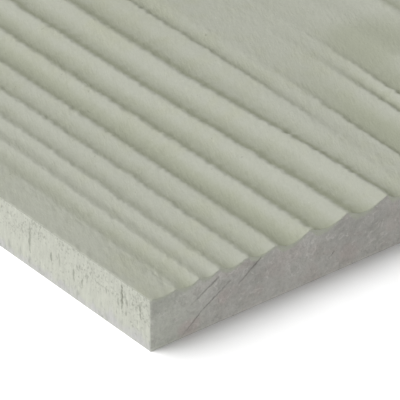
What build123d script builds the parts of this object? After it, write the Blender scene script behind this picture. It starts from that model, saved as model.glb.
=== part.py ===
"""Fibre cement cladding plank with an embossed grain face, in millimetres.

The plank lies on its back with the embossed face up. X runs along it towards the sawn end from
which the grain is laid out, Y runs across it from the near long edge to the far one, and the
origin is the centre of the flat back.
"""
import os
from collections import namedtuple
from math import cos, exp, pi, sin

from build123d import *

# Overall size, with the thickness taken at the highest crest
LENGTH = 3600.0
WIDTH = 190.0
THICKNESS = 10.0

# Level of the plain face, where a ridge has ebbed away, below the highest crest
PLAIN_DROP = 0.9

# A ridge lies a gap further in than the one before it. Its crest is a drop below the highest crest,
# and the floor of the valley beyond it is a fall below. It drifts sideways just in from the sawn
# end. Its height is a share of the full one: start at the end, and further in the ridge ebbs and
# comes back at its own phase.
Ridge = namedtuple("Ridge", "gap drop fall drift start ebb phase")

# The long edges bound the grain as ridges that never ebb
NEAR_EDGE = Ridge(0.0, 0.80, 0.93, 0.0, 1.0, 0.0, 0.0)
FAR_EDGE = Ridge(0.0, 0.80, 0.93, 0.0, 1.0, 0.0, 0.0)
# Ridges counted inwards from the near long edge
NEAR_RIDGES = (
    Ridge(5.1, 0.95, 1.12, 0.4, 1.0, 0.3, pi),
    Ridge(4.3, 0.72, 1.00, 0.7, 1.0, 0.3, 0.0),
    Ridge(3.9, 0.60, 1.08, 0.9, 1.0, 0.2, 0.6),
    Ridge(5.5, 0.60, 1.18, 0.4, 1.0, 0.2, 0.0),
    Ridge(5.4, 0.70, 1.45, 0.2, 1.0, 0.3, 0.4),
    Ridge(6.7, 0.52, 1.30, -0.3, 1.0, 0.2, 0.0),
    Ridge(7.4, 0.30, 1.25, -1.0, 1.0, 0.3, 0.8),
    Ridge(8.2, 0.20, 1.15, -1.9, 1.0, 0.4, 0.0),
    Ridge(6.2, 0.45, 1.20, 0.5, 0.0, 0.7, 0.3),
    Ridge(2.9, 0.80, 1.70, 1.8, 1.2, 1.0, 3.1),
    Ridge(9.3, 0.60, 1.30, 0.8, 1.5, 1.0, 2.7),
    Ridge(3.2, 0.70, 1.45, 1.2, 1.5, 1.0, 3.5),
)
# Ridges counted inwards from the far long edge, where the grain closes up again
FAR_RIDGES = (
    Ridge(4.9, 0.95, 1.12, 0.0, 0.9, 0.5, 1.0),
    Ridge(4.1, 0.72, 1.05, 0.3, 1.0, 0.3, 2.0),
    Ridge(4.8, 0.60, 1.20, 0.5, 1.0, 0.2, 0.0),
    Ridge(5.6, 0.55, 1.30, 0.4, 1.0, 0.3, 4.0),
    Ridge(6.3, 0.50, 1.30, -0.6, 1.0, 0.3, 1.5),
    Ridge(7.3, 0.00, 1.20, -1.2, 1.0, 0.4, 5.0),
    Ridge(8.1, 0.15, 1.15, -1.6, 1.0, 0.6, 3.0),
)
# Share of the width, from each edge, that these ridges may take
NEAR_REACH = 0.4
FAR_REACH = 0.25

# Broad grain between them, evenly spaced, that ebbs right down to the plain level
BROAD_PITCH = 9.0
BROAD_DROP = 0.15
BROAD_FALL = 1.15
BROAD_PHASE_STEP = 2.4

# Beyond a crest the face falls over a rounded edge, within a length that grows with the gap to the
# next crest, down to the valley floor, and climbs ever faster to that crest
FALL_LENGTH = 0.35
FALL_SHARE = 0.19
FALL_POWER = 1.9
FLOOR_WAY = 0.46
# Where the profile is drawn between two crests: twice on the fall, in fall lengths, on the floor
# and on the climb, as a share of the way. Between close ridges the floor comes before the end of
# the fall, and there the two points keep their places between the crest and the floor.
FALL_POINTS = (0.75, 1.4)
FALL_END = 1.45
CLIMB_WAY = 0.78

# Lengths along the plank in which the grain settles, ebbs, sweeps aside and gathers
SETTLE_LENGTH = 34.0
EBB_LENGTH = 1300.0
SWEEP_LENGTH = 1700.0
GATHER_LENGTH = 1150.0
# How far it sweeps and gathers
SWEEP = 6.0
GATHER = 2.5

# Spacing of the sections: close by the sawn end and wide further on
FIRST_SPAN = 20.0
LAST_SPAN = 240.0
SPAN_GROWTH = 1.5


def ridge_lines():
    """Every ridge across the plank with its place, measured from the near long edge."""
    near = [(0.0, NEAR_EDGE)]
    for ridge in NEAR_RIDGES:
        place = near[-1][0] + ridge.gap
        if place < NEAR_REACH * WIDTH:
            near.append((place, ridge))
    far = [(WIDTH, FAR_EDGE)]
    for ridge in FAR_RIDGES:
        place = far[-1][0] - ridge.gap
        if place > (1 - FAR_REACH) * WIDTH:
            far.append((place, ridge))
    first = near[-1][0]
    room = far[-1][0] - first
    count = max(1, round(room / BROAD_PITCH))
    broad = []
    for index in range(1, count):
        phase = BROAD_PHASE_STEP * index
        start = 0.5 + 0.5 * cos(phase)
        ridge = Ridge(room / count, BROAD_DROP, BROAD_FALL, 0.0, start, 1.0, phase)
        broad.append((first + room * index / count, ridge))
    return near + broad + far[::-1]


def wave(distance, length):
    """A smooth swing from 0 at the sawn end to 1 and back, once in each length."""
    return 0.5 - 0.5 * cos(2 * pi * distance / length)


def settled(distance):
    """How far the grain has settled at a distance from the sawn end, from 0 to 1."""
    return 1 - exp(-((distance / SETTLE_LENGTH) ** 3))


def sideways(place, ridge, distance):
    """How far a ridge lies from its place at a distance from the sawn end."""
    swept = SWEEP * sin(pi * place / WIDTH) * wave(distance, SWEEP_LENGTH)
    gathered = GATHER * sin(2 * pi * place / WIDTH) * wave(distance, GATHER_LENGTH)
    return ridge.drift * settled(distance) + swept + gathered


def height_share(ridge, distance):
    """Height of a ridge at a distance from the sawn end, as a share of its full height."""
    later = 1 - ridge.ebb * (0.5 - 0.5 * cos(2 * pi * distance / EBB_LENGTH + ridge.phase))
    return ridge.start + (later - ridge.start) * settled(distance)


def crest_line(distance):
    """Each crest as its distance from the near long edge, its height, its share and its ridge."""
    plain = THICKNESS - PLAIN_DROP
    line = []
    for place, ridge in ridge_lines():
        share = height_share(ridge, distance)
        height = plain + share * (PLAIN_DROP - ridge.drop)
        line.append((place + sideways(place, ridge, distance), height, share, ridge))
    return line


def fall_share(way, gap):
    """How far the face has fallen from the crests to the floor, part of the way across a gap."""
    past = way * gap / (FALL_LENGTH + FALL_SHARE * gap)
    climb = max(0.0, (way - FLOOR_WAY) / (1 - FLOOR_WAY))
    return (1 - exp(-(past**FALL_POWER))) * (1 - climb * climb * (2 - climb))


def section(distance):
    """Cross-section of the plank at a distance from the sawn end."""

    def point(across, height):
        return Vector(LENGTH / 2 - distance, across - WIDTH / 2, height)

    line = crest_line(distance)
    face = []
    for (start, crest, share, ridge), (end, next_crest, *_) in zip(line, line[1:]):
        gap = end - start
        floor = THICKNESS - PLAIN_DROP + share * (PLAIN_DROP - ridge.fall)
        fall_length = FALL_LENGTH + FALL_SHARE * gap
        fall_step = min(fall_length / gap, FLOOR_WAY / FALL_END)
        ways = [fall_step * number for number in FALL_POINTS] + [FLOOR_WAY, CLIMB_WAY]
        stretch = [point(start, crest)]
        for way in ways:
            rim = crest + way * (next_crest - crest)
            stretch.append(point(start + way * gap, rim + fall_share(way, gap) * (floor - rim)))
        face.append(Spline(*stretch, point(end, next_crest)))

    near_back, far_back = point(0, 0), point(WIDTH, 0)
    near_top, far_top = point(*line[0][:2]), point(*line[-1][:2])
    back = [Line(far_top, far_back), Line(far_back, near_back), Line(near_back, near_top)]
    return Face(Wire(face + back))


def stations():
    """Distances from the sawn end at which the section is drawn."""
    places = [0.0]
    span = FIRST_SPAN
    while places[-1] + 1.5 * span < LENGTH:
        places.append(places[-1] + span)
        span = min(span * SPAN_GROWTH, LAST_SPAN)
    places.append(LENGTH)
    return places


plank = loft([section(distance) for distance in stations()], ruled=True)

os.makedirs("parts", exist_ok=True)
export_step(plank, "parts/plank.step")
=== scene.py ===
"""Dresses the packed fibre cement cladding plank: the embossed face, the edges and the finishes.

Sizes are millimetres in the plank's own layout, where a point lies at a distance from the sawn end
in view and at a place across the width from the near long edge. The relief tree turns them into the
frame's metres.
"""

import logging
import math
from collections.abc import Iterable
from dataclasses import dataclass, replace
from enum import Enum, IntEnum
from functools import partialmethod, reduce
from typing import Any, Union

import bpy
import numpy as np
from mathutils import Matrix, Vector


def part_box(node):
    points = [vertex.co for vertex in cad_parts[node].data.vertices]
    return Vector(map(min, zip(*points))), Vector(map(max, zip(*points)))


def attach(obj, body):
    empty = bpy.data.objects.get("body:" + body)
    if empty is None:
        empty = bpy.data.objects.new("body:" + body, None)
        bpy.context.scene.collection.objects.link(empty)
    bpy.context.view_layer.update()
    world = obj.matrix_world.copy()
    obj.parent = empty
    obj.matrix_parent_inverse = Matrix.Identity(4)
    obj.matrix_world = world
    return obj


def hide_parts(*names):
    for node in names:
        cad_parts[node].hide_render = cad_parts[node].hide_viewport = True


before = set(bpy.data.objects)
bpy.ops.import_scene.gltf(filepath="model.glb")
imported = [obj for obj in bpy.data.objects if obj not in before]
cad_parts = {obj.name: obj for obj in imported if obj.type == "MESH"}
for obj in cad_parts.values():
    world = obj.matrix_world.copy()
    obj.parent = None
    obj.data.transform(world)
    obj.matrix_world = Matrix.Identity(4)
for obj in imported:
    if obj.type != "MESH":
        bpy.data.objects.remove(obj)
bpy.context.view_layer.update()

log = logging.getLogger("cladding_plank")

MM = 0.001
BODY = "root"
PLANK_NODE = "plank"
PIECE = "embossed_plank"

Triple = tuple[float, float, float]
Colour = tuple[float, float, float, float]
Tree = bpy.types.NodeTree
Material = bpy.types.Material
Object = bpy.types.Object
Value = Union[float, str, Triple, Colour, Object, Material, "Field"]
Sizes = dict[str, "Field"]

# Where a change begins and ends, and the values before and after it, which are 0 and 1 unless given
Ramp = tuple[float, ...]


class Surface(IntEnum):
    """The four kinds of surface on the plank, in the order of their material slots."""

    FACE = 0
    LONG_EDGE = 1
    SAWN_END = 2
    BACK = 3


class Trait(Enum):
    """Names of the attributes that the relief tree reads or leaves."""

    PLACE = "place"
    DROP = "drop"
    FALL = "fall"
    DRIFT = "drift"
    START = "start"
    EBB = "ebb"
    PHASE = "phase"
    ROUNDING = "rounding"
    RIDGE = "ridge_before"
    WAY = "way_to_next"
    DISTANCE = "distance"
    UP = "share_of_height"
    SURFACE = "surface"
    LEVEL = "level"
    LEE = "lee"


class Field:
    """A value on its way through a node tree: a number, a vector, a colour or geometry."""

    def __init__(self, socket: bpy.types.NodeSocket) -> None:
        """Wraps the output socket that carries the value."""
        self.socket = socket
        self.tree = socket.id_data

    def math(self, operation: str, *others: Value) -> "Field":
        """Adds a math node with this value as its first input and the others after it."""
        inputs = dict(enumerate((self, *others)))
        return new_field(self.tree, "ShaderNodeMath", inputs, operation=operation)

    def vector(self, operation: str, other: Value) -> "Field":
        """Adds a vector math node for this vector and another."""
        inputs = {0: self, 1: other}
        return new_field(self.tree, "ShaderNodeVectorMath", inputs, operation=operation)

    def scaled(self, factor: Value) -> "Field":
        """Multiplies this vector or colour by a number."""
        inputs = {0: self, "Scale": factor}
        return new_field(self.tree, "ShaderNodeVectorMath", inputs, operation="SCALE")

    # The usual signs add math nodes too
    __add__ = partialmethod(math, "ADD")
    __sub__ = partialmethod(math, "SUBTRACT")
    __mul__ = partialmethod(math, "MULTIPLY")
    __truediv__ = partialmethod(math, "DIVIDE")

    def taken_from(self, number: float) -> "Field":
        """Takes this value away from a number."""
        return self * -1.0 + number

    def towards(self, other: "Field", share: Value) -> "Field":
        """Goes from this value to another by a share of 0 to 1."""
        return self + (other - self) * share

    def step(self, low: Value, high: Value, start: float = 0.0, end: float = 1.0) -> "Field":
        """Goes smoothly from start to end as this value goes from low to high."""
        inputs = {"Value": self, "From Min": low, "From Max": high, "To Min": start, "To Max": end}
        return new_field(self.tree, "ShaderNodeMapRange", inputs, interpolation_type="SMOOTHSTEP")

    def fade(self, reach: Value) -> "Field":
        """Goes smoothly from 1 where this value is nothing to 0 at a reach."""
        return self.step(0.0, reach, 1.0, 0.0)


def add_node(tree: Tree, kind: str, inputs: dict[Any, Value], **settings: Any) -> bpy.types.Node:
    """Adds a node to a tree.

    Args:
        tree: The tree.
        kind: The node's type.
        inputs: A field or a plain value for each of its inputs, by name or by number.
        settings: Its other properties.

    Returns:
        The node.
    """
    node = tree.nodes.new(kind)
    for name, setting in settings.items():
        setattr(node, name, setting)
    for name, value in inputs.items():
        if isinstance(value, Field):
            tree.links.new(value.socket, node.inputs[name])
        else:
            node.inputs[name].default_value = value
    return node


def new_field(
    tree: Tree, kind: str, inputs: dict[Any, Value], output: Union[int, str] = 0, **settings: Any
) -> Field:
    """Adds a node as add_node does, and gives the value of one of its outputs."""
    return Field(add_node(tree, kind, inputs, **settings).outputs[output])


def join(x: Field, y: Value, z: Value) -> Field:
    """Joins a field and two more numbers into a vector."""
    return new_field(x.tree, "ShaderNodeCombineXYZ", {0: x, 1: y, 2: z})


def noise(place: Field, detail: float, roughness: float, seed: float) -> Field:
    """Adds noise that swings by about a half each way about zero, once in a unit of the place."""
    inputs = {"Vector": place, "W": seed, "Scale": 1.0, "Detail": detail, "Roughness": roughness}
    return new_field(place.tree, "ShaderNodeTexNoise", inputs, noise_dimensions="4D") - 0.5


def strongest(fields: Iterable[Field]) -> Field:
    """Gives the greatest of some fields at each point."""
    return reduce(lambda first, second: first.math("MAXIMUM", second), fields)


def add_object(name: str, data: bpy.types.ID) -> Object:
    """Adds an object to the scene.

    Args:
        name: Its name.
        data: Its mesh, lamp or camera.

    Returns:
        The object.
    """
    added = bpy.data.objects.new(name, data)
    bpy.context.scene.collection.objects.link(added)
    return added


def set_trait(
    mesh: bpy.types.Mesh,
    trait: Trait,
    values: Iterable,
    kind: str = "FLOAT",
    domain: str = "POINT",
) -> None:
    """Stores a trait on a mesh, one value for each point or face."""
    mesh.attributes.new(trait.value, kind, domain).data.foreach_set("value", values)


@dataclass(frozen=True)
class Ridge:
    """One ridge of the grain.

    It lies a gap further in than the one before. Its crest is a drop below the highest crest, and
    the floor of the valley beyond it is a fall below. It drifts sideways just in from the sawn end.
    Its height is a share of the full one: start at the end, and further in the ridge ebbs and comes
    back at its own phase. The length of its fall is a share, rounding, of what the gap gives.
    """

    gap: float
    drop: float
    fall: float
    drift: float
    start: float
    ebb: float
    phase: float
    rounding: float = 1.0


@dataclass(frozen=True)
class Grain:
    """The ridges of the embossed face, as in the plank's solid.

    Near ridges 1, 10, 11 and 12 are set more finely here, by up to 0.7 mm across and 0.2 mm in
    height, and the last three have a rounding of their own.
    """

    width: float
    edge: Ridge = Ridge(0.0, 0.80, 0.93, 0.0, 1.0, 0.0, 0.0)
    near_ridges: tuple[Ridge, ...] = (
        Ridge(5.1, 0.95, 1.19, 0.4, 1.0, 0.0, math.pi),
        Ridge(4.3, 0.72, 1.00, 0.7, 1.0, 0.3, 0.0),
        Ridge(3.9, 0.60, 1.08, 0.9, 1.0, 0.2, 0.6),
        Ridge(5.5, 0.60, 1.18, 0.4, 1.0, 0.2, 0.0),
        Ridge(5.4, 0.70, 1.45, 0.2, 1.0, 0.3, 0.4),
        Ridge(6.7, 0.52, 1.30, -0.3, 1.0, 0.2, 0.0),
        Ridge(7.4, 0.30, 1.25, -1.0, 1.0, 0.3, 0.8),
        Ridge(8.2, 0.20, 1.15, -1.9, 1.0, 0.4, 0.0),
        Ridge(6.2, 0.45, 1.20, 0.5, 0.0, 0.7, 0.3),
        Ridge(3.6, 0.80, 1.52, 1.8, 1.2, 1.0, 3.1, 0.6),
        Ridge(8.6, 0.70, 1.35, 0.8, 1.5, 1.0, 2.7, 1.2),
        Ridge(3.2, 0.70, 1.45, 1.8, 1.5, 1.0, 3.5, 0.6),
    )
    far_ridges: tuple[Ridge, ...] = (
        Ridge(4.9, 0.95, 1.12, 0.0, 0.9, 0.5, 1.0),
        Ridge(4.1, 0.72, 1.05, 0.3, 1.0, 0.3, 2.0),
        Ridge(4.8, 0.60, 1.20, 0.5, 1.0, 0.2, 0.0),
        Ridge(5.6, 0.55, 1.30, 0.4, 1.0, 0.3, 4.0),
        Ridge(6.3, 0.50, 1.30, -0.6, 1.0, 0.3, 1.5),
        Ridge(7.3, 0.00, 1.20, -1.2, 1.0, 0.4, 5.0),
        Ridge(8.1, 0.15, 1.15, -1.6, 1.0, 0.6, 3.0),
    )
    broad_pitch: float = 9.0
    broad_drop: float = 0.15
    broad_fall: float = 1.15
    broad_phase_step: float = 2.4

    def lines(self) -> list[tuple[float, Ridge]]:
        """Lays the ridges out across the width.

        Returns:
            Each ridge with its place, and the two long edges as the first and the last.
        """
        near = [(0.0, self.edge)]
        for ridge in self.near_ridges:
            near.append((near[-1][0] + ridge.gap, ridge))
        far = [(self.width, self.edge)]
        for ridge in self.far_ridges:
            far.append((far[-1][0] - ridge.gap, ridge))
        first = near[-1][0]
        room = far[-1][0] - first
        count = max(1, round(room / self.broad_pitch))
        gap = room / count
        broad = []
        for index in range(1, count):
            phase = self.broad_phase_step * index
            start = 0.5 + 0.5 * math.cos(phase)
            ridge = Ridge(gap, self.broad_drop, self.broad_fall, 0.0, start, 1.0, phase)
            broad.append((first + gap * index, ridge))
        return near + broad + far[::-1]

    def table(self) -> Object:
        """Makes the ridge table, with one loose vertex for each ridge.

        Returns:
            The table, which only the relief tree reads.
        """
        lines = self.lines()
        mesh = bpy.data.meshes.new("ridge_table")
        mesh.from_pydata([(0.0, place * MM, 0.0) for place, _ in lines], [], [])
        set_trait(mesh, Trait.PLACE, [place for place, _ in lines])
        for trait in Trait:
            if hasattr(self.edge, trait.value):
                set_trait(mesh, trait, [getattr(ridge, trait.value) for _, ridge in lines])
        return add_object("ridge_table", mesh)


@dataclass(frozen=True)
class ReliefSizes:
    """The named inputs of the relief tree, in millimetres where they are lengths."""

    length: float
    width: float
    thickness: float
    plain_drop: float = 0.9
    valley_drop: float = 1.4
    fall_length: float = 0.35
    fall_share: float = 0.19
    fall_power: float = 1.9
    floor_way: float = 0.46
    settle_length: float = 34.0
    ebb_length: float = 1300.0
    sweep_length: float = 1700.0
    gather_length: float = 1150.0
    sweep: float = 6.0
    gather: float = 2.5
    sharpness: float = 0.8
    sharpness_length: float = 1.8
    sharpest: float = 0.4
    wobble: float = 1.15
    wobble_length: float = 2.2
    wobble_spread: float = 3.0
    tooth: float = 1.1
    tooth_length: float = 1.1
    unevenness: float = 0.16
    unevenness_length: float = 6.0
    stroke_depth: float = 0.24
    stroke_angle: float = math.radians(27)
    stroke_length: float = 2.6
    stroke_width: float = 0.9
    stroke_patch: float = 9.0
    dent_depth: float = 0.1
    dent_length: float = 1.7
    dent_width: float = 0.8
    edge_reach: float = 10.0
    breakout: float = 0.2
    breakout_reach: float = 2.5
    arris: float = 0.1
    chip: float = 0.5
    chip_length: float = 1.8
    chip_reach: float = 1.5
    corner_wear: float = 0.35
    corner_reach: float = 0.7

    def inputs(self) -> dict[str, float]:
        """Gives each size under the name of its input."""
        return {name.replace("_", " ").title(): value for name, value in vars(self).items()}


@dataclass(frozen=True)
class Crest:
    """What the crest group says of one ridge at one distance from the sawn end.

    It is the crest's place across, its height, its share of the full height, the fall beyond it
    from the plain level, and how rounded that fall is.
    """

    across: Field
    height: Field
    share: Field
    fall: Field
    rounding: Field


@dataclass(frozen=True)
class Spot:
    """Where a vertex is on the plank, and how near to a sawn end and to a long edge."""

    distance: Field
    across: Field
    near_end: Field
    near_side: Field

    def over(self, length: Field, up: Value = 0.0) -> Field:
        """Gives its coordinates as shares of a length, with a third one already shared."""
        return join(self.distance / length, self.across / length, up)


class ReliefTree:
    """Builds the geometry node tree that embosses the board by the ridge table."""

    SEED = 4.0
    SHARPNESS_SEED = 5.0
    SHARPNESS_CROWDING = 2.0
    DENT_LAYER = 5.0
    TABLE = "Ridge Table"

    # Octaves of the noise, and how strong they are
    SMOOTH = (1.0, 0.5)
    UNEVEN = (2.0, 0.5)
    RAGGED = (2.0, 0.6)
    ROUGH = (3.0, 0.8)

    # The wobble fades out by the long edges, where the sine of the place is low
    STILL_EDGE: Ramp = (0.0, 0.2)
    PATCH_RAMP: Ramp = (-0.2, 0.2, 0.35, 1.0)
    EDGE_RAMP: Ramp = (0.5, 1.5, 1.7, 1.0)
    DENT_RAMP: Ramp = (0.1, 0.24)
    CHIP_RAMP: Ramp = (0.06, 0.3)
    UPPER_RAMP: Ramp = (0.3, 0.7)
    LEE_GAIN = 4.0
    SAME_KIND = 0.25

    def __init__(self, sizes: ReliefSizes, finishes: dict[Surface, Material]) -> None:
        """Builds the tree.

        Args:
            sizes: The sizes that its inputs are given.
            finishes: The material of each kind of surface.
        """
        self.sizes = sizes
        self.finishes = finishes
        self.crest_group = self.build_crest_group()
        self.tree = self.build()

    @staticmethod
    def read(tree: Tree, trait: Trait, kind: str = "FLOAT") -> Field:
        """Reads an attribute by name."""
        name = {"Name": trait.value}
        return new_field(tree, "GeometryNodeInputNamedAttribute", name, "Attribute", data_type=kind)

    def start(self, name: str, ports: dict[str, str]) -> tuple[Tree, dict[str, Field], Sizes]:
        """Starts a tree that has one input for each size.

        Args:
            name: Its name.
            ports: Its other inputs, each with the kind of its socket.

        Returns:
            The tree, the fields of its other inputs, and those of the sizes.
        """
        tree = bpy.data.node_groups.new(name, "GeometryNodeTree")
        for port, kind in ports.items():
            tree.interface.new_socket(port, in_out="INPUT", socket_type="NodeSocket" + kind)
        for port, value in self.sizes.inputs().items():
            socket = tree.interface.new_socket(port, in_out="INPUT", socket_type="NodeSocketFloat")
            socket.default_value = value
        outputs = tree.nodes.new("NodeGroupInput").outputs
        given = {port: Field(outputs[port]) for port in ports}
        return tree, given, {port: Field(outputs[port]) for port in self.sizes.inputs()}

    @staticmethod
    def end(tree: Tree, results: dict[str, Field], kind: str) -> Tree:
        """Ends a tree.

        Args:
            tree: The tree.
            results: The field of each of its outputs.
            kind: The kind of their sockets.

        Returns:
            The tree.
        """
        for port in results:
            tree.interface.new_socket(port, in_out="OUTPUT", socket_type="NodeSocket" + kind)
        add_node(tree, "NodeGroupOutput", results)
        return tree

    def build_crest_group(self) -> Tree:
        """Builds the group that says where a ridge's crest is at a distance from the sawn end.

        Returns:
            The group. Its outputs are what a Crest holds.
        """
        ports = {self.TABLE: "Geometry", "Ridge": "Int", "Distance": "Float"}
        tree, given, size = self.start("crest_line", ports)
        distance = given["Distance"]
        row = {"Geometry": given[self.TABLE], "Index": given["Ridge"]}

        def look_up(trait: Trait) -> Field:
            """Reads one of the ridge's traits from the table."""
            inputs = row | {"Value": self.read(tree, trait)}
            return new_field(tree, "GeometryNodeSampleIndex", inputs, "Value", domain="POINT")

        def wave(length: Field) -> Field:
            """Swings smoothly from 0 at the sawn end to 1 and back, once in each length."""
            return (distance * math.tau / length).math("COSINE") * -0.5 + 0.5

        def shaken(length: Field) -> Field:
            """Gives where noise of a length is read, so that each ridge has its own."""
            return join(distance / length, place * size["Wobble Spread"] / length, 0.0)

        way_in = distance / size["Settle Length"]
        settled = (way_in * way_in * way_in * -1.0).math("EXPONENT").taken_from(1.0)

        place = look_up(Trait.PLACE)
        turn = place / size["Width"] * math.pi
        inside = turn.math("SINE")
        swept = size["Sweep"] * inside * wave(size["Sweep Length"])
        gathered = size["Gather"] * (turn * 2.0).math("SINE") * wave(size["Gather Length"])
        wobble = noise(shaken(size["Wobble Length"]), *self.ROUGH, self.SEED) * size["Wobble"]
        tooth = noise(shaken(size["Tooth Length"]), *self.SMOOTH, self.SEED) * size["Tooth"]
        wobble = (wobble + tooth) * inside.step(*self.STILL_EDGE)

        swing = (distance * math.tau / size["Ebb Length"] + look_up(Trait.PHASE)).math("COSINE")
        later = (look_up(Trait.EBB) * (swing * -0.5 + 0.5)).taken_from(1.0)
        share = look_up(Trait.START).towards(later, settled)
        plain = size["Thickness"] - size["Plain Drop"]
        crest = Crest(
            across=place + look_up(Trait.DRIFT) * settled + swept + gathered + wobble,
            height=plain + share * (size["Plain Drop"] - look_up(Trait.DROP)),
            share=share,
            fall=look_up(Trait.FALL) - size["Plain Drop"],
            rounding=look_up(Trait.ROUNDING),
        )
        return self.end(tree, vars(crest), "Float")

    def crest(self, table: Field, ridge: Field, distance: Field, size: Sizes) -> Crest:
        """Adds the crest group for one ridge.

        Args:
            table: The ridge table's geometry.
            ridge: The ridge's number.
            distance: The distance from the sawn end.
            size: The tree's sizes by name.

        Returns:
            What the group says.
        """
        inputs = {self.TABLE: table, "Ridge": ridge, "Distance": distance} | size
        group = add_node(table.tree, "GeometryNodeGroup", inputs, node_tree=self.crest_group)
        return Crest(**{socket.name: Field(socket) for socket in group.outputs})

    def build(self) -> Tree:
        """Builds the tree that sets every vertex of the board and its surfaces' materials.

        Returns:
            The tree.
        """
        ports = {"Geometry": "Geometry", self.TABLE: "Object"}
        tree, given, size = self.start("embossed_relief", ports)
        table = new_field(tree, "GeometryNodeObjectInfo", {"Object": given[self.TABLE]}, "Geometry")
        distance = self.read(tree, Trait.DISTANCE)
        way = self.read(tree, Trait.WAY)
        ridge = self.read(tree, Trait.RIDGE, "INT")
        here = self.crest(table, ridge, distance, size)
        ahead = self.crest(table, ridge + 1.0, distance, size)

        # Beyond a crest the face falls over a rounded edge, and climbs ever faster to the next
        gap = ahead.across - here.across
        reach = size["Sharpness Length"]
        edge = join(distance / reach, here.across * self.SHARPNESS_CROWDING / reach, 0.0)
        edge = noise(edge, *self.RAGGED, self.SHARPNESS_SEED) * size["Sharpness"]
        edge = (edge + 1.0).math("MAXIMUM", size["Sharpest"])
        fall_length = (size["Fall Length"] + size["Fall Share"] * gap) * edge * here.rounding
        past = (way * gap / fall_length).math("POWER", size["Fall Power"])
        left = (past * -1.0).math("EXPONENT")
        floor_way = size["Floor Way"]
        climb = ((way - floor_way) / floor_way.taken_from(1.0)).math("MAXIMUM", 0.0)
        rise = climb * climb * climb.taken_from(2.0)
        fall = left.taken_from(1.0) * rise.taken_from(1.0)

        across = here.across.towards(ahead.across, way)
        near_end = distance.math("MINIMUM", size["Length"] - distance)
        near_side = across.math("MINIMUM", size["Width"] - across)
        spot = Spot(distance, across, near_end, near_side)
        rim = here.height.towards(ahead.height, way)
        floor = size["Thickness"] - size["Plain Drop"] - here.share * here.fall
        uneven = noise(spot.over(size["Unevenness Length"]), *self.UNEVEN, self.SEED)
        uneven = uneven * size["Unevenness"] + self.strokes(spot, size)
        broken = near_end.fade(size["Breakout Reach"]) * fall
        uneven = uneven - broken * size["Breakout"]
        height = (rim.towards(floor, fall) + uneven).math("MINIMUM", size["Thickness"])
        level = (height - size["Thickness"]) / size["Valley Drop"] + 1.0
        # How far a point lies on the steep fall past a crest: the face's coat paints shade by it,
        # and the sawn end's coat lap reaches further down by it
        lee = fall * left * (rim - floor) * self.LEE_GAIN

        last = given["Geometry"]
        for trait, value in ((Trait.LEVEL, level), (Trait.LEE, lee)):
            inputs = {"Geometry": last, "Name": trait.value, "Value": value}
            last = new_field(tree, "GeometryNodeStoreNamedAttribute", inputs, data_type="FLOAT")
        inputs = {"Geometry": last, "Position": self.worn(spot, height, size)}
        last = new_field(tree, "GeometryNodeSetPosition", inputs)
        last = new_field(tree, "GeometryNodeRealizeInstances", {"Geometry": last})
        for surface, material in self.finishes.items():
            kind = self.read(tree, Trait.SURFACE, "INT")
            chosen = kind.math("COMPARE", float(surface), self.SAME_KIND)
            inputs = {"Geometry": last, "Material": material, "Selection": chosen}
            last = new_field(tree, "GeometryNodeSetMaterial", inputs)
        return self.end(tree, {"Geometry": last}, "Geometry")

    def strokes(self, spot: Spot, size: Sizes) -> Field:
        """Says how far short slanting strokes and dents, which come in patches, raise the face.

        Args:
            spot: Where the vertex is.
            size: The tree's sizes by name.

        Returns:
            The rise in millimetres, which swings about zero.
        """
        cosine, sine = (size["Stroke Angle"].math(name) for name in ("COSINE", "SINE"))
        along = (spot.distance * cosine + spot.across * sine) / size["Stroke Length"]
        aside = (spot.across * cosine - spot.distance * sine) / size["Stroke Width"]
        stroke = noise(join(along, aside, 0.0), *self.SMOOTH, self.SEED)
        here = noise(spot.over(size["Stroke Patch"]), *self.SMOOTH, self.SEED)
        edge = spot.near_side / size["Edge Reach"]
        here = here.step(*self.PATCH_RAMP) * edge.step(*self.EDGE_RAMP)
        along = along * size["Stroke Length"] / size["Dent Length"]
        aside = aside * size["Stroke Width"] / size["Dent Width"]
        dent = noise(join(along, aside, self.DENT_LAYER), *self.SMOOTH, self.SEED)
        dent = dent.step(*self.DENT_RAMP)
        return (stroke * size["Stroke Depth"] - dent * size["Dent Depth"]) * here

    def worn(self, spot: Spot, height: Field, size: Sizes) -> Field:
        """Puts each vertex in its place, with the arrises worn round and the sawn ones chipped.

        What lies outside the rounded edges is drawn back onto them.

        Args:
            spot: Where the vertex is.
            height: The height of the face there.
            size: The tree's sizes by name.

        Returns:
            The position in metres.
        """
        share_up = self.read(height.tree, Trait.UP)
        up = height * share_up
        chips = spot.over(size["Chip Length"], up / size["Chip Length"])
        chips = noise(chips, *self.RAGGED, self.SEED).step(*self.CHIP_RAMP)
        chips = chips * spot.near_end.fade(size["Chip Reach"])
        corner = spot.near_end.math("MAXIMUM", spot.near_side).fade(size["Corner Reach"])
        corner = corner * share_up.step(*self.UPPER_RAMP)
        radius = size["Arris"] + size["Chip"] * chips + size["Corner Wear"] * corner

        half_length, half_width = size["Length"] * 0.5, size["Width"] * 0.5
        place = join(half_length - spot.distance, spot.across - half_width, up)
        x_reach, y_reach = half_length - radius, half_width - radius
        high = join(x_reach, y_reach, height - radius)
        low = join(x_reach * -1.0, y_reach * -1.0, 0.0)
        core = low.vector("MAXIMUM", high.vector("MINIMUM", place))
        away = place.vector("SUBTRACT", core)
        gone = new_field(away.tree, "ShaderNodeVectorMath", {0: away}, "Value", operation="LENGTH")
        share = (radius / gone).math("MINIMUM", 1.0)
        return core.vector("ADD", away.scaled(share)).scaled(MM)

    def modify(self, board: Object, table: Object) -> None:
        """Adds the tree to the board as a modifier and sets its inputs.

        Args:
            board: The board.
            table: The ridge table.
        """
        modifier = board.modifiers.new("relief", "NODES")
        modifier.node_group = self.tree
        values = self.sizes.inputs() | {self.TABLE: table}
        for item in self.tree.interface.items_tree:
            if item.in_out == "INPUT" and item.name in values:
                modifier[item.identifier] = values[item.name]


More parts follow.
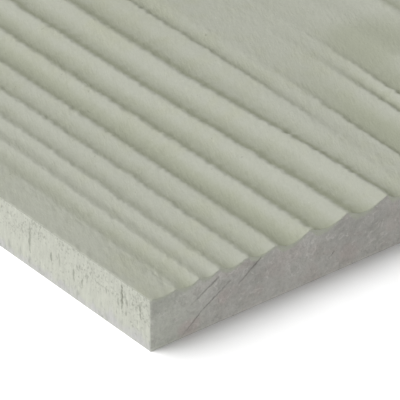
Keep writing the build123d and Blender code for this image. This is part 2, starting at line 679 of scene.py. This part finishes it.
@dataclass(frozen=True)
class Board:
    """The plain closed board that the relief tree embosses, as a net of rows and columns."""

    grain: Grain
    length: float
    fine_ridges: int = 13
    fine_facets: int = 16
    broad_facets: int = 8
    crowding: float = 0.09
    fine_span: float = 0.4
    fine_reach: float = 76.0
    span_growth: float = 1.2
    last_span: float = 100.0
    arris_spans: tuple[float, ...] = (0.12, 0.3)
    arris_levels: tuple[float, ...] = (0.012, 0.03, 0.065)
    wall_levels: int = 6

    def rows(self) -> np.ndarray:
        """Lays the rows out, close where the grain shows nearest.

        Returns:
            Their distances from the sawn end.
        """
        fine = round(self.fine_reach / self.fine_span)
        places = [0.0, *self.arris_spans]
        places += [self.fine_span * index for index in range(1, fine + 1)]
        span = self.fine_span
        while span < self.last_span:
            span *= self.span_growth
            places.append(places[-1] + span)
        rest = self.length - places[-1]
        count = math.ceil(rest / self.last_span)
        places += [places[-1] + rest * index / count for index in range(1, count)]
        places += [self.length - span for span in self.arris_spans[::-1]]
        return np.array(places + [self.length])

    def ups(self) -> list[float]:
        """Heights of the skirt's rings as shares of the face's, crowded by the upper arris."""
        upper = [1.0 - level for level in self.arris_levels]
        return upper + list(np.linspace(upper[-1], 0.0, self.wall_levels + 1)[1:])

    def columns(self) -> tuple[np.ndarray, np.ndarray]:
        """Lays the columns out, crowded by the crests.

        Returns:
            The ridge before each column, and its share of the way to the next ridge.
        """
        stretches = len(self.grain.lines()) - 1
        ridges = []
        ways = []
        for ridge in range(stretches):
            facets = self.fine_facets if ridge < self.fine_ridges else self.broad_facets
            even = np.arange(facets) / facets
            ways += list(even - self.crowding * np.sin(math.tau * even))
            ridges += [ridge] * facets
        return np.array(ridges + [stretches - 1]), np.array(ways + [1.0])

    def build(self) -> Object:
        """Makes the board's mesh: the face's net, a skirt round it and the back.

        Returns:
            The board, whose vertices carry the traits that the relief tree reads.
        """
        rows = self.rows()
        ridges, ways = self.columns()
        net = np.arange(len(rows) * len(ways)).reshape(len(rows), len(ways))
        corners = [net[1:, :-1], net[1:, 1:], net[:-1, 1:], net[:-1, :-1]]
        quads = np.stack(corners, axis=-1).reshape(-1, 4)

        # The rim goes round the net: near end, far edge, far end, near edge
        rim = np.concatenate([net[0, :-1], net[:-1, -1], net[-1, :0:-1], net[:0:-1, 0]])
        counts = [len(ways) - 1, len(rows) - 1] * 2
        sides = np.repeat([Surface.SAWN_END, Surface.LONG_EDGE] * 2, counts)
        ups = self.ups()
        rings = [rim]
        for level in range(len(ups)):
            rings.append(net.size + level * len(rim) + np.arange(len(rim)))
        faces = quads.tolist()
        for upper, lower in zip(rings, rings[1:]):
            ring = np.stack([np.roll(lower, -1), lower, upper, np.roll(upper, -1)], axis=-1)
            faces += ring.tolist()
        faces.append(rings[-1].tolist())

        source = np.concatenate([np.arange(net.size)] + [rim] * len(ups))
        up = np.concatenate([np.ones(net.size), np.repeat(ups, len(rim))])
        row, column = np.divmod(source, len(ways))
        flat = np.stack([-rows[row], column.astype(float), up], axis=-1) * MM
        mesh = bpy.data.meshes.new("board")
        mesh.from_pydata(flat.tolist(), [], faces)
        set_trait(mesh, Trait.DISTANCE, rows[row])
        set_trait(mesh, Trait.WAY, ways[column])
        set_trait(mesh, Trait.UP, up)
        set_trait(mesh, Trait.RIDGE, ridges[column].astype(np.int32), "INT")
        kinds = [np.full(len(quads), Surface.FACE), np.tile(sides, len(ups)), [Surface.BACK]]
        kinds = np.concatenate(kinds).astype(np.int32)
        set_trait(mesh, Trait.SURFACE, kinds, "INT", "FACE")
        mesh.polygons.foreach_set("use_smooth", np.ones(len(kinds), dtype=bool))
        return add_object("board", mesh)


def srgb(red: int, green: int, blue: int) -> Colour:
    """Turns a colour as a screen shows it, 0 to 255, into the linear one that nodes take."""
    shares = (part / 255 for part in (red, green, blue))
    return (*(s / 12.92 if s <= 0.04045 else ((s + 0.055) / 1.055) ** 2.4 for s in shares), 1.0)


@dataclass(frozen=True)
class Pattern:
    """Noise for a finish: the length of a swing in all or for X, Y and Z, its octaves and seed.

    Where it is used so, tone is how much it brightens the colour and height how much it lifts the
    surface, in millimetres.
    """

    length: Union[float, Triple]
    detail: float
    roughness: float
    seed: float
    tone: float = 0.0
    height: float = 0.0

    def reseeded(self, step: float) -> "Pattern":
        """Gives the same noise with its seed a step further on."""
        return replace(self, seed=self.seed + step)

    def factors(self) -> Triple:
        """Gives how many swings there are in a millimetre along X, Y and Z."""
        lengths = self.length if isinstance(self.length, tuple) else (self.length,) * 3
        return tuple(1.0 / length for length in lengths)


@dataclass(frozen=True)
class Dab:
    """A soft ragged patch of another tone: the place of its middle and its two radii."""

    first: float
    second: float
    first_radius: float
    second_radius: float
    strength: float
    raggedness: float = 2.0
    inner: float = 0.1
    outer: float = 1.5

    def at(self, first: Field, second: Field, ragged: Field) -> Field:
        """Says how strong it is at a point.

        Args:
            first: The first coordinate of the point.
            second: The second one.
            ragged: Noise that roughens the outline.

        Returns:
            The strength, which is 0 outside.
        """
        aside = (first - self.first) / self.first_radius
        above = (second - self.second) / self.second_radius
        away = aside * aside + above * above + ragged * self.raggedness
        return away.step(self.inner, self.outer, self.strength, 0.0)


class Palette:
    """A material under way, with its coordinates in millimetres, its shader and colour so far."""

    SPECULAR = 0.25

    # Numbers of the mix node's colour sockets
    FIRST = 6
    SECOND = 7
    MIXED = 2

    def __init__(self, name: str, roughness: float, plain: Colour) -> None:
        """Starts a material.

        Args:
            name: Its name.
            roughness: How matt it is all over.
            plain: The colour that it starts from.
        """
        self.colour: Value = plain
        self.material = bpy.data.materials.new(name)
        self.material.use_nodes = True
        self.tree = self.material.node_tree
        self.shader = self.tree.nodes["Principled BSDF"]
        self.shader.inputs["Roughness"].default_value = roughness
        self.shader.inputs["Specular IOR Level"].default_value = self.SPECULAR
        metres = new_field(self.tree, "ShaderNodeTexCoord", {}, "Object")
        self.place = metres.vector("MULTIPLY", (1 / MM, 1 / MM, 1 / MM))
        split = add_node(self.tree, "ShaderNodeSeparateXYZ", {0: self.place})
        self.x, self.y, self.z = (Field(socket) for socket in split.outputs)

    def turned(self, angle: float) -> Field:
        """Turns the coordinates about Z by an angle in radians."""
        inputs = {"Vector": self.place, "Rotation": (0.0, 0.0, angle)}
        return new_field(self.tree, "ShaderNodeMapping", inputs)

    def noise(self, pattern: Pattern, place: Union[Field, None] = None) -> Field:
        """Adds a noise pattern, read at the plain coordinates unless a place is given."""
        spot = (place or self.place).vector("MULTIPLY", pattern.factors())
        return noise(spot, pattern.detail, pattern.roughness, pattern.seed)

    def trait(self, trait: Trait) -> Field:
        """Reads an attribute of the plank's mesh."""
        return new_field(self.tree, "ShaderNodeAttribute", {}, "Fac", attribute_name=trait.value)

    def tint(self, colour: Colour, share: Field) -> None:
        """Mixes another colour in by its share."""
        inputs = {"Factor": share, self.FIRST: self.colour, self.SECOND: colour}
        self.colour = new_field(self.tree, "ShaderNodeMix", inputs, self.MIXED, data_type="RGBA")

    def brighten(self, tone: Field) -> None:
        """Brightens the colour by a share of itself, or darkens it by one less than nothing."""
        self.colour = self.colour.scaled(tone + 1.0)

    def finish(self, relief: Field) -> Material:
        """Joins the colour and the fine relief to the shader.

        Args:
            relief: The surface's fine relief in millimetres.

        Returns:
            The finished material.
        """
        normal = new_field(self.tree, "ShaderNodeBump", {"Distance": MM, "Height": relief})
        for field, name in ((self.colour, "Base Color"), (normal, "Normal")):
            self.tree.links.new(field.socket, self.shader.inputs[name])
        return self.material


@dataclass(frozen=True)
class FaceCoat:
    """The matt grey-green coat on the embossed face, sprayed and lightly brushed, with shade
    painted into its valleys, onto the steep fall past each crest and, a little, onto the highest
    crests.
    """

    half_length: float
    half_width: float
    roughness: float = 0.78
    plain: Colour = srgb(169, 171, 159)
    warm: Colour = srgb(168, 170, 153)
    warm_ramp: Ramp = (-0.05, 0.3)
    # Painted shade for the valleys, whose tone the darker patch also takes
    valley: Colour = srgb(155, 158, 140)
    valley_ramp: Ramp = (-0.1, 0.45, 1.0, 0.0)
    # Painted shade on the steep fall just past each crest
    lee: Colour = srgb(152, 155, 136)
    lee_ramp: Ramp = (0.0, 0.9)
    # Painted shade that dims the light on the highest crests
    crest_shade_ramp: Ramp = (0.75, 0.95, 0.0, 0.03)
    # A darker patch about 40 mm from the sawn end and 77 mm across
    stain: Dab = Dab(40.0, 77.0, 8.0, 8.0, 0.75)
    patch: Pattern = Pattern(26.0, 2.0, 0.5, 1.0, tone=-0.1)
    mottle: Pattern = Pattern(4.5, 3.0, 0.6, 2.0)
    mottle_warmth: float = 0.8
    mottle_level: float = 0.25
    mottle_pocks: float = 0.4
    brush: Pattern = Pattern((2.2, 0.7, 2.2), 2.0, 0.6, 4.0, tone=0.11, height=0.13)
    brush_angle: float = math.radians(27)
    brush_ramp: Ramp = (-0.15, 0.15, 0.4, 1.0)
    speckle: Pattern = Pattern(0.5, 2.0, 0.6, 3.0, tone=0.15)
    grit: Pattern = Pattern(0.55, 0.0, 0.5, 6.0)
    grit_ramp: Ramp = (0.28, 0.35, 0.0, 0.09)
    pock: Pattern = Pattern(0.75, 0.0, 0.5, 7.0, tone=-0.09, height=-0.05)
    pock_ramp: Ramp = (0.31, 0.39)
    sand: Pattern = Pattern(0.4, 2.0, 0.6, 5.0, height=0.03)

    def build(self) -> Material:
        """Makes the material.

        Returns:
            The material.
        """
        palette = Palette("face_coat", self.roughness, self.plain)
        level = palette.trait(Trait.LEVEL)
        patch, mottle = palette.noise(self.patch), palette.noise(self.mottle)
        warmth = patch + mottle * self.mottle_warmth
        palette.tint(self.warm, warmth.step(*self.warm_ramp))
        # Painted shade: the lower the face lies in a valley, the darker and greener its coat
        depth = level - mottle * self.mottle_level
        palette.tint(self.valley, depth.step(*self.valley_ramp))
        # Painted shade on the steep fall just past each crest
        palette.tint(self.lee, palette.trait(Trait.LEE).step(*self.lee_ramp))
        # A darker patch about 40 mm from the sawn end and 77 mm across, in the valleys' tone
        distance, across = palette.x.taken_from(self.half_length), palette.y + self.half_width
        palette.tint(self.valley, self.stain.at(distance, across, mottle))

        brush = palette.noise(self.brush, palette.turned(self.brush_angle))
        brush = brush * mottle.step(*self.brush_ramp)
        speckle = palette.noise(self.speckle)
        grit = palette.noise(self.grit).step(*self.grit_ramp)
        pock = (palette.noise(self.pock) + mottle * self.mottle_pocks).step(*self.pock_ramp)
        tone = speckle * self.speckle.tone + brush * self.brush.tone + patch * self.patch.tone
        # Painted shade: the highest crests are made a little darker, dimming the light on them
        palette.brighten(tone + grit + pock * self.pock.tone - level.step(*self.crest_shade_ramp))
        relief = palette.noise(self.sand) * self.sand.height + brush * self.brush.height
        return palette.finish(relief + pock * self.pock.height)


@dataclass(frozen=True)
class Pore:
    """A torn pore in the long edge, at a distance from the sawn end and between two heights."""

    distance: float
    low: float
    high: float
    width: float
    shade: float = 0.6
    width_share: float = 0.7
    end_share: float = 0.5
    raggedness: float = 3.0
    inner: float = 0.1
    outer: float = 1.1

    def at(self, past: Field, up: Field, ragged: Field) -> Field:
        """Says how deep a point is in the pore.

        Args:
            past: How far the point is past the sawn end, which makes it less than nothing.
            up: Its height.
            ragged: Noise that roughens the outline.

        Returns:
            The shade of the pore, which is 0 outside.
        """
        side = (past + self.distance).math("ABSOLUTE")
        end = (up - (self.low + self.high) / 2).math("ABSOLUTE") / ((self.high - self.low) / 2)
        inside = side / self.width * self.width_share + end * end * self.end_share
        return (inside + ragged * self.raggedness).step(self.inner, self.outer, self.shade, 0.0)


@dataclass(frozen=True)
class EdgeCoat:
    """The coat on the long edges, thinner and lighter, with pores drawn out along the cut."""

    half_length: float
    roughness: float = 0.75
    plain: Colour = srgb(204, 206, 194)
    bare: Colour = srgb(199, 199, 196)
    bare_ramp: Ramp = (0.0, 0.26)
    foot_ramp: Ramp = (0.2, 3.6, 0.24, -0.14)
    pit: Colour = srgb(110, 113, 98)
    pit_share: float = 0.8
    pit_depth: float = 0.06
    coat: Colour = srgb(168, 170, 158)
    lap_ramp: Ramp = (0.972, 0.995)
    lap_raggedness: float = 0.03
    patch: Pattern = Pattern((3.5, 3.5, 5.0), 3.0, 0.6, 5.0)
    streak: Pattern = Pattern((0.55, 0.55, 2.4), 2.0, 0.6, 6.0, tone=0.36, height=0.08)
    mottle: Pattern = Pattern((1.6, 1.6, 2.0), 3.0, 0.65, 7.0, tone=0.14, height=0.1)
    smudge: Pattern = Pattern((0.9, 0.9, 2.0), 2.0, 0.6, 19.0)
    smudge_colour: Colour = srgb(172, 174, 166)
    smudge_rise: Ramp = (1.0, 5.0, 0.05, -0.1)
    smudge_ramp: Ramp = (0.06, 0.3, 0.0, 0.75)
    crowd: Pattern = Pattern((6.0, 6.0, 2.5), 1.0, 0.5, 8.0)
    crowd_rise: Ramp = (1.5, 6.5, -0.12, 0.08)
    crowd_share: float = 0.35
    stipple: Pattern = Pattern((0.42, 0.42, 0.5), 2.0, 0.6, 9.0)
    stipple_ramp: Ramp = (0.02, 0.24, 0.0, 0.5)
    slit: Pattern = Pattern((0.45, 0.45, 2.0), 2.0, 0.6, 10.0)
    slit_rise: Ramp = (4.0, 7.0, 0.0, -0.1)
    slit_ramp: Ramp = (0.12, 0.3, 0.0, 0.5)
    ragged: Pattern = Pattern((0.6, 0.6, 0.8), 3.0, 0.75, 11.0)
    bend: Pattern = Pattern((3.0, 3.0, 1.6), 2.0, 0.6, 18.0)
    bend_width: float = 0.8
    pores: tuple[Pore, ...] = (
        Pore(6.9, 3.5, 8.6, 0.28, 0.85),
        Pore(7.0, 3.8, 5.3, 0.3, 0.9),
        Pore(5.7, 5.2, 6.4, 0.3),
        Pore(2.4, 5.9, 7.2, 0.24, 0.75),
        Pore(2.3, 4.5, 5.5, 0.24, 0.75),
        Pore(18.9, 3.2, 5.6, 0.2),
        Pore(16.8, 3.0, 4.6, 0.2, 0.75),
        Pore(24.7, 3.8, 5.4, 0.22, 0.65),
        Pore(6.2, 6.0, 7.6, 0.22, 0.55),
        Pore(7.9, 4.4, 5.6, 0.2, 0.5),
        Pore(6.0, 3.4, 4.3, 0.2, 0.55),
        Pore(3.1, 3.2, 4.2, 0.18, 0.45),
        Pore(10.9, 5.0, 6.0, 0.18, 0.5),
        Pore(22.7, 4.0, 6.2, 0.2, 0.4),
        Pore(30.2, 2.6, 7.6, 0.3),
    )

    def build(self) -> Material:
        """Makes the material.

        Returns:
            The material.
        """
        palette = Palette("edge_coat", self.roughness, self.plain)
        up = palette.z
        low = palette.noise(self.patch) + up.step(*self.foot_ramp)
        palette.tint(self.bare, low.step(*self.bare_ramp))
        streak, mottle = palette.noise(self.streak), palette.noise(self.mottle)
        palette.brighten(streak * self.streak.tone + mottle * self.mottle.tone)
        smudge = palette.noise(self.smudge) + up.step(*self.smudge_rise)
        palette.tint(self.smudge_colour, smudge.step(*self.smudge_ramp))

        crowd = palette.noise(self.crowd) + up.step(*self.crowd_rise)
        stipple = palette.noise(self.stipple) + crowd * self.crowd_share
        slit = palette.noise(self.slit) + up.step(*self.slit_rise)
        ragged = palette.noise(self.ragged)
        past = palette.x - self.half_length + palette.noise(self.bend) * self.bend_width
        pits = [stipple.step(*self.stipple_ramp), slit.step(*self.slit_ramp)]
        pits = strongest(pits + [pore.at(past, up, ragged) for pore in self.pores])
        palette.tint(self.pit, pits * self.pit_share)
        lapped = palette.trait(Trait.UP) + ragged * self.lap_raggedness
        palette.tint(self.coat, lapped.step(*self.lap_ramp))
        relief = mottle * self.mottle.height + streak * self.streak.height
        return palette.finish(relief - pits * self.pit_depth)


@dataclass(frozen=True)
class SawScratch:
    """A scratch that the saw left on the end, from one point to another."""

    across: float
    up: float
    end_across: float
    end_up: float
    width: float = 0.19
    raggedness: float = 0.4
    width_ramp: Ramp = (0.4, 1.2, 1.0, 0.0)
    end_ramp: Ramp = (0.85, 1.05, 1.0, 0.0)
    along_ramp: Ramp = (0.0, 0.6, 0.45, 1.0)
    gap_ramp: Ramp = (-0.2, 0.1, 0.45, 1.0)

    def at(self, across: Field, up: Field, ragged: Field) -> Field:
        """Says how far a point is in the scratch.

        Args:
            across: The point's place across the width.
            up: Its height.
            ragged: Noise that roughens the scratch.

        Returns:
            1 in the scratch and 0 outside.
        """
        run, climb = self.end_across - self.across, self.end_up - self.up
        reach = math.hypot(run, climb)
        from_start, above = across - self.across, up - self.up
        along = (from_start * (run / reach) + above * (climb / reach)) / reach
        aside = from_start * (-climb / reach) + above * (run / reach) + ragged * self.raggedness
        thin = (aside.math("ABSOLUTE") / self.width).step(*self.width_ramp)
        ends = ((along - 0.5).math("ABSOLUTE") * 2.0).step(*self.end_ramp)
        return thin * ends * along.step(*self.along_ramp) * ragged.step(*self.gap_ramp)


@dataclass(frozen=True)
class SawnFibre:
    """The bare sawn end: pressed cement with cellulose fibre, flecks and saw scratches, with
    painted light that brightens it towards its foot.
    """

    half_width: float
    roughness: float = 0.9
    plain: Colour = srgb(185, 183, 178)
    dark: Colour = srgb(163, 161, 155)
    dark_ramp: Ramp = (-0.05, 0.25)
    pink: Colour = srgb(184, 175, 170)
    green: Colour = srgb(185, 187, 177)
    green_ramp: Ramp = (2.0, 14.0, 0.9, 0.15)
    pale: Colour = srgb(210, 208, 203)
    coat: Colour = srgb(179, 182, 167)
    scratch: Colour = srgb(92, 90, 82)
    scratch_share: float = 0.48
    scratch_depth: float = 0.06
    patch: Pattern = Pattern((3.5, 3.5, 2.5), 3.0, 0.65, 12.0)
    blush: Pattern = Pattern((5.0, 5.0, 3.0), 2.0, 0.6, 13.0)
    blush_across: Ramp = (2.0, 14.0, -0.12, 0.04)
    blush_ramp: Ramp = (0.02, 0.2, 0.0, 0.5)
    fibre: Pattern = Pattern(0.8, 3.0, 0.65, 14.0, tone=0.5, height=0.3)
    clump: Pattern = Pattern((1.9, 1.9, 1.5), 2.0, 0.6, 15.0, tone=0.2, height=0.2)
    fleck: Pattern = Pattern((0.7, 0.7, 0.6), 1.0, 0.5, 16.0)
    fleck_ramp: Ramp = (0.14, 0.28, 0.0, 0.6)
    curl: Pattern = Pattern((2.2, 2.2, 2.0), 2.0, 0.6, 0.0)
    short: Pattern = Pattern((1.5, 1.5, 1.2), 1.0, 0.5, 0.5)
    pale_seed: float = 23.0
    dark_seed: float = 19.0
    curl_ramp: Ramp = (0.0, 0.045, 0.5, 0.0)
    short_ramp: Ramp = (0.0, 0.14)
    # Painted light: brighter towards the foot, weaker near the corner, most at the very foot, and a
    # little brighter near the corner and darker far across
    painted_light_rise: Ramp = (0.3, 3.4, 0.14, 0.0)
    painted_light_across: Ramp = (5.0, 20.0, 0.3, 1.0)
    painted_foot_light: Ramp = (0.0, 0.8, 0.2, 0.0)
    painted_corner_light: Ramp = (0.0, 42.0, 0.04, -0.03)
    ragged: Pattern = Pattern(0.6, 3.0, 0.6, 17.0)
    lap_lee: float = 0.09
    lap_level: float = 0.07
    lap_start: float = 0.06
    lap_raggedness: float = 0.1
    lap_clumps: float = 0.08
    lap_ramp: Ramp = (0.975, 1.025, 0.0, 0.9)
    shadow_tone: float = 0.22
    scratches: tuple[SawScratch, ...] = (
        SawScratch(7.6, 5.1, 13.2, 8.2),
        SawScratch(5.8, 0.2, 10.0, 3.5, 0.14),
        SawScratch(15.5, 6.7, 10.0, 3.5, 0.16),
        SawScratch(16.8, 5.3, 21.5, 8.5),
        SawScratch(34.7, 2.9, 36.0, 3.8, 0.16),
    )
    blushes: tuple[Dab, ...] = (
        Dab(7.4, 1.4, 2.2, 1.6, 0.75),
        Dab(13.9, 4.1, 1.3, 1.4, 0.6),
        Dab(20.8, 2.6, 1.1, 1.1, 0.6),
        Dab(26.6, 6.6, 3.4, 1.8, 0.4),
        Dab(38.5, 2.3, 2.0, 2.0, 0.65),
    )
    shadows: tuple[Dab, ...] = (
        Dab(1.2, 8.0, 4.6, 2.0, 0.65),
        Dab(19.0, 6.0, 6.5, 3.6, 0.42),
        Dab(40.5, 6.4, 6.5, 3.6, 0.48),
    )

    def build(self) -> Material:
        """Makes the material.

        Returns:
            The material.
        """
        palette = Palette("sawn_fibre_cement", self.roughness, self.plain)
        across, up = palette.y + self.half_width, palette.z
        patch = palette.noise(self.patch)
        palette.tint(self.dark, patch.step(*self.dark_ramp))
        blush = palette.noise(self.blush) + across.step(*self.blush_across)
        palette.tint(self.pink, blush.step(*self.blush_ramp))
        palette.tint(self.green, across.step(*self.green_ramp))
        palette.tint(self.pink, strongest(dab.at(across, up, patch) for dab in self.blushes))
        shadow = strongest(dab.at(across, up, patch) for dab in self.shadows)
        fibre, clump = palette.noise(self.fibre), palette.noise(self.clump)
        # Painted light: the end is brightened towards its foot, less so near the corner, most at
        # the very foot, and a little more near the corner than far across it
        painted_light = up.step(*self.painted_light_rise) * across.step(*self.painted_light_across)
        painted_light = painted_light + up.step(*self.painted_foot_light) + across.step(*self.painted_corner_light)
        tone = fibre * self.fibre.tone + clump * self.clump.tone + painted_light
        palette.brighten(tone - shadow * self.shadow_tone)
        palette.tint(self.pale, palette.noise(self.fleck).step(*self.fleck_ramp))
        for colour, seed in ((self.pale, self.pale_seed), (self.dark, self.dark_seed)):
            curl, short = self.curl.reseeded(seed), self.short.reseeded(seed)
            hair = palette.noise(curl).math("ABSOLUTE").step(*self.curl_ramp)
            palette.tint(colour, hair * palette.noise(short).step(*self.short_ramp))

        ragged = palette.noise(self.ragged)
        hollow = palette.trait(Trait.LEE) * self.lap_lee + self.lap_start
        hollow = hollow - palette.trait(Trait.LEVEL) * self.lap_level
        lapped = palette.trait(Trait.UP) + hollow
        lapped = lapped + ragged * self.lap_raggedness + clump * self.lap_clumps
        palette.tint(self.coat, lapped.step(*self.lap_ramp))
        lines = strongest(scratch.at(across, up, ragged) for scratch in self.scratches)
        palette.tint(self.scratch, lines * self.scratch_share)
        relief = fibre * self.fibre.height + clump * self.clump.height
        return palette.finish(relief - lines * self.scratch_depth)


@dataclass(frozen=True)
class RawBack:
    """The bare back, smooth from the press, with faint felt marks and dust."""

    roughness: float = 0.88
    plain: Colour = srgb(176, 174, 169)
    dark: Colour = srgb(160, 158, 152)
    dark_ramp: Ramp = (-0.2, 0.3)
    pale: Colour = srgb(198, 197, 193)
    pale_share: float = 0.6
    patch: Pattern = Pattern((60.0, 24.0, 24.0), 4.0, 0.6, 16.0)
    felt: Pattern = Pattern(0.9, 3.0, 0.6, 17.0, tone=0.25, height=0.15)
    drag: Pattern = Pattern((45.0, 1.6, 1.6), 3.0, 0.6, 20.0, tone=0.2, height=0.12)
    fleck: Pattern = Pattern(1.4, 1.0, 0.5, 21.0, height=-0.05)
    fleck_ramp: Ramp = (0.2, 0.32)

    def build(self) -> Material:
        """Makes the material.

        Returns:
            The material.
        """
        palette = Palette("raw_back", self.roughness, self.plain)
        patch = palette.noise(self.patch).step(*self.dark_ramp)
        felt, drag = palette.noise(self.felt), palette.noise(self.drag)
        fleck = palette.noise(self.fleck).step(*self.fleck_ramp)
        palette.tint(self.dark, patch)
        palette.tint(self.pale, fleck * self.pale_share)
        palette.brighten(felt * self.felt.tone + drag * self.drag.tone)
        relief = felt * self.felt.height + drag * self.drag.height
        return palette.finish(relief + fleck * self.fleck.height)


@dataclass(frozen=True)
class Plank:
    """The whole plank, at the size of its solid."""

    length: float
    width: float
    thickness: float
    crease: float = math.radians(60)

    def finishes(self) -> dict[Surface, Material]:
        """Makes the material of each kind of surface."""
        return {
            Surface.FACE: FaceCoat(self.length / 2, self.width / 2).build(),
            Surface.LONG_EDGE: EdgeCoat(self.length / 2).build(),
            Surface.SAWN_END: SawnFibre(self.width / 2).build(),
            Surface.BACK: RawBack().build(),
        }

    def build(self) -> Object:
        """Embosses and dresses the plank.

        Returns:
            The plank as a plain mesh.
        """
        grain = Grain(self.width)
        board = Board(grain, self.length).build()
        table = grain.table()
        sizes = ReliefSizes(self.length, self.width, self.thickness)
        ReliefTree(sizes, self.finishes()).modify(board, table)
        evaluated = board.evaluated_get(bpy.context.evaluated_depsgraph_get())
        mesh = bpy.data.meshes.new_from_object(evaluated)
        mesh.name = PIECE
        mesh.set_sharp_from_angle(angle=self.crease)
        for spare in (board, table):
            bpy.data.objects.remove(spare)
        return add_object(PIECE, mesh)


@dataclass(frozen=True)
class Lamp:
    """A broad distant light, with its angles in degrees.

    It shines along the floor at a bearing from +X, stands at a height over the horizon and is as
    wide as its width. Its strength is that on a surface that faces it.
    """

    name: str
    bearing: float
    height: float
    width: float
    strength: float

    def build(self) -> None:
        """Adds the light."""
        along, rise = math.radians(self.bearing), math.radians(self.height)
        flat = math.cos(rise)
        towards = Vector((-math.cos(along) * flat, -math.sin(along) * flat, math.sin(rise)))
        data = bpy.data.lights.new(self.name, "SUN")
        data.energy = self.strength
        data.angle = math.radians(self.width)
        lamp = add_object(self.name, data)
        lamp.rotation_mode = "QUATERNION"
        lamp.rotation_quaternion = towards.to_track_quat("Z", "Y")


@dataclass(frozen=True)
class Studio:
    """A white floor under soft light from the side of the near long edge."""

    azimuth: float = 51.5225
    elevation: float = 31.4868
    lens: float = 380.38
    sensor: float = 36.0
    camera_place: Triple = (2.218244, -0.417935, 0.350291)
    clip: tuple[float, float] = (0.01, 100.0)
    lamps: tuple[Lamp, ...] = (
        Lamp("soft_light", 53.0, 55.0, 55.0, 3.63),
        Lamp("bounce_card", 172.0, 4.0, 16.0, 1.35),
    )
    sky_strength: float = 0.05
    floor_size: float = 30.0
    floor_gap: float = 0.01 * MM
    floor_white: float = 0.65
    floor_seen: float = 1.03

    def build(self) -> None:
        """Makes the camera, the lights, the world and the floor."""
        bpy.context.scene.view_settings.view_transform = "Standard"
        self.add_camera()
        for lamp in self.lamps:
            lamp.build()
        self.add_sky()
        self.add_floor()

    def add_camera(self) -> None:
        """Adds the camera at the photograph's angle."""
        turn, rise = math.radians(self.azimuth), math.radians(self.elevation)
        flat = math.cos(rise)
        back = Vector((math.sin(turn) * flat, -math.cos(turn) * flat, math.sin(rise)))
        data = bpy.data.cameras.new("camera")
        data.lens = self.lens
        data.sensor_width = self.sensor
        data.clip_start, data.clip_end = self.clip
        camera = add_object("camera", data)
        camera.location = self.camera_place
        camera.rotation_mode = "QUATERNION"
        camera.rotation_quaternion = (-back).to_track_quat("-Z", "Y")
        bpy.context.scene.camera = camera

    @staticmethod
    def seen(tree: Tree, *rays: str) -> Field:
        """Gives 1 where a ray of one of these kinds looks, and 0 for the light on the plank."""
        path = add_node(tree, "ShaderNodeLightPath", {})
        return strongest(Field(path.outputs[ray]) for ray in rays)

    def add_sky(self) -> None:
        """Adds the even light, with a white background wherever the camera sees past the floor."""
        world = bpy.data.worlds.new("even_light")
        world.use_nodes = True
        tree = world.node_tree
        background = tree.nodes["Background"]
        background.inputs["Color"].default_value = (1.0, 1.0, 1.0, 1.0)
        seen = self.seen(tree, "Is Camera Ray", "Is Glossy Ray", "Is Transmission Ray")
        strength = seen * (1.0 - self.sky_strength) + self.sky_strength
        tree.links.new(strength.socket, background.inputs["Strength"])
        bpy.context.scene.world = world

    def add_floor(self) -> None:
        """Adds the white floor, which keeps the plank's shadow."""
        half = self.floor_size / 2
        mesh = bpy.data.meshes.new("floor")
        corners = ((-half, -half), (half, -half), (half, half), (-half, half))
        mesh.from_pydata([(*corner, -self.floor_gap) for corner in corners], [], [range(4)])
        material = bpy.data.materials.new("white_floor")
        material.use_nodes = True
        tree = material.node_tree
        tree.nodes.remove(tree.nodes["Principled BSDF"])
        white = self.seen(tree, "Is Camera Ray") * (self.floor_seen - self.floor_white)
        shader = new_field(tree, "ShaderNodeBsdfDiffuse", {"Color": white + self.floor_white})
        tree.links.new(shader.socket, tree.nodes["Material Output"].inputs["Surface"])
        mesh.materials.append(material)
        add_object("floor", mesh)


def box_size(box: tuple[Vector, Vector]) -> Triple:
    """Gives the size of a box in millimetres."""
    return tuple((high - low) / MM for low, high in zip(*box))


def main() -> None:
    """Builds the plank round the frame, lights it and notes its size."""
    logging.basicConfig(level=logging.INFO, format="%(name)s: %(message)s")
    plank = Plank(*box_size(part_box(PLANK_NODE))).build()
    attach(plank, BODY)
    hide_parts(PLANK_NODE)
    log.info("%s: %d faces", plank.name, len(plank.data.polygons))
    Studio().build()
    log.info("studio is lit")


if __name__ == "__main__":
    main()
